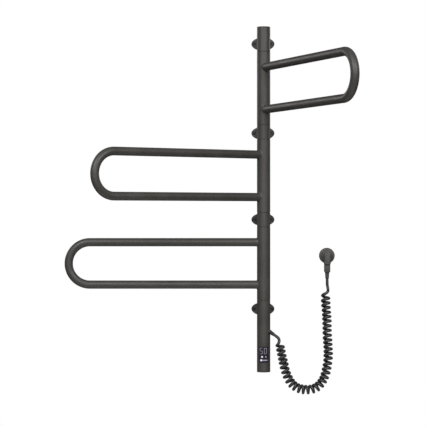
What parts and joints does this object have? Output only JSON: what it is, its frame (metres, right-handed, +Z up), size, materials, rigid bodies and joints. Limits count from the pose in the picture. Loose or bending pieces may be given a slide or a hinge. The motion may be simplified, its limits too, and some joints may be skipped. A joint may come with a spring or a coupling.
{
  "type": "towel warmer rack",
  "caption": "Electric towel warmer: wall-mounted round post with swinging heated tube loops, a touch display at its foot and a curly supply cord.",
  "frame": {"origin": "centre of the lowest wall flange's back face, on the wall plane", "axes": "+Z up along the post, +Y into the wall, +X to the right for a person facing the wall"},
  "size_m": [0.671, 0.5022, 0.8825],
  "materials": {
    "powder_coat": "fine-textured matt anthracite powder coat",
    "structural_tube": "plain drawn steel",
    "nylon": "natural nylon",
    "washer_plastic": "black acetal",
    "turned_aluminium": "turned",
    "zinc_steel": "zinc plated",
    "black_steel": "black oxide",
    "black_rubber": "satin",
    "silicone_cable": "red-brown silicone",
    "wire_insulation": "insulated wires",
    "display_gloss": "glossy black acrylic",
    "inner_plastic": "moulded",
    "circuit_board": "solder mask",
    "digit_module": "smoked",
    "light_guide": "clear diffusing",
    "component_plastic": "moulded",
    "sensor_metal": "plain",
    "cord_jacket": "satin black",
    "plug_rubber": "soft grey",
    "plug_grey": "moulded grey",
    "pin_plating": "nickel plated",
    "contact_brass": "plated spring strip"
  },
  "bodies": {
    "post": {"base_tube": "powder_coat", "bottom_cap": "powder_coat", "cap_screws": "black_steel", "cap_seal": "black_rubber", "control_board": "circuit_board", "control_carrier": "inner_plastic", "control_lens": "display_gloss", "cord_curl": "cord_jacket", "cord_lead_lower": "cord_jacket", "cord_lead_upper": "cord_jacket", "core_tube": "structural_tube", "digit_display": "digit_module", "flange_grub_screws": "black_steel", "key_lights": "light_guide", "plug_body": "plug_grey", "plug_boot": "plug_rubber", "plug_earth_clips": "contact_brass", "plug_pins": "pin_plating", "post_collar_lower": "powder_coat", "post_collar_upper": "powder_coat", "post_top_tube": "powder_coat", "power_board": "circuit_board", "relay": "component_plastic", "relief_collar": "inner_plastic", "slider_light": "light_guide", "spacer_rings": "turned_aluminium", "standoff_bottom": "powder_coat", "standoff_lower": "powder_coat", "standoff_studs": "zinc_steel", "standoff_top": "powder_coat", "standoff_upper": "powder_coat", "stop_pins": "zinc_steel", "strain_relief": "black_rubber", "supply_wires": "wire_insulation", "temperature_sensor": "sensor_metal", "terminal_block": "inner_plastic", "thrust_washers": "washer_plastic", "top_cap": "powder_coat", "transformer": "component_plastic", "wall_flange_bottom": "powder_coat", "wall_flange_lower": "powder_coat", "wall_flange_top": "powder_coat", "wall_flange_upper": "powder_coat", "wiring_harness": "silicone_cable"},
    "arm_bottom": {"arm_loop_bottom": "powder_coat", "bush_lower_bottom": "nylon", "bush_upper_bottom": "nylon", "heating_cable_bottom": "silicone_cable", "swivel_sleeve_bottom": "powder_coat"},
    "arm_middle": {"arm_loop_middle": "powder_coat", "bush_lower_middle": "nylon", "bush_upper_middle": "nylon", "heating_cable_middle": "silicone_cable", "swivel_sleeve_middle": "powder_coat"},
    "arm_top": {"arm_loop_top": "powder_coat", "bush_lower_top": "nylon", "bush_upper_top": "nylon", "heating_cable_top": "silicone_cable", "swivel_sleeve_top": "powder_coat"}
  },
  "joints": [
    {"name": "bottom_arm_swing", "type": "hinge", "parent": "post", "child": "arm_bottom", "pos_m": [0, -0.06, 0.1125], "axis": [0, 0, 1], "range_deg": [0, 180]},
    {"name": "middle_arm_swing", "type": "hinge", "parent": "post", "child": "arm_middle", "pos_m": [0, -0.06, 0.323], "axis": [0, 0, 1], "range_deg": [-34.3, 145.7]},
    {"name": "top_arm_swing", "type": "hinge", "parent": "post", "child": "arm_top", "pos_m": [0, -0.06, 0.5335], "axis": [0, 0, 1], "range_deg": [-112.85, 67.15]}
  ]
}
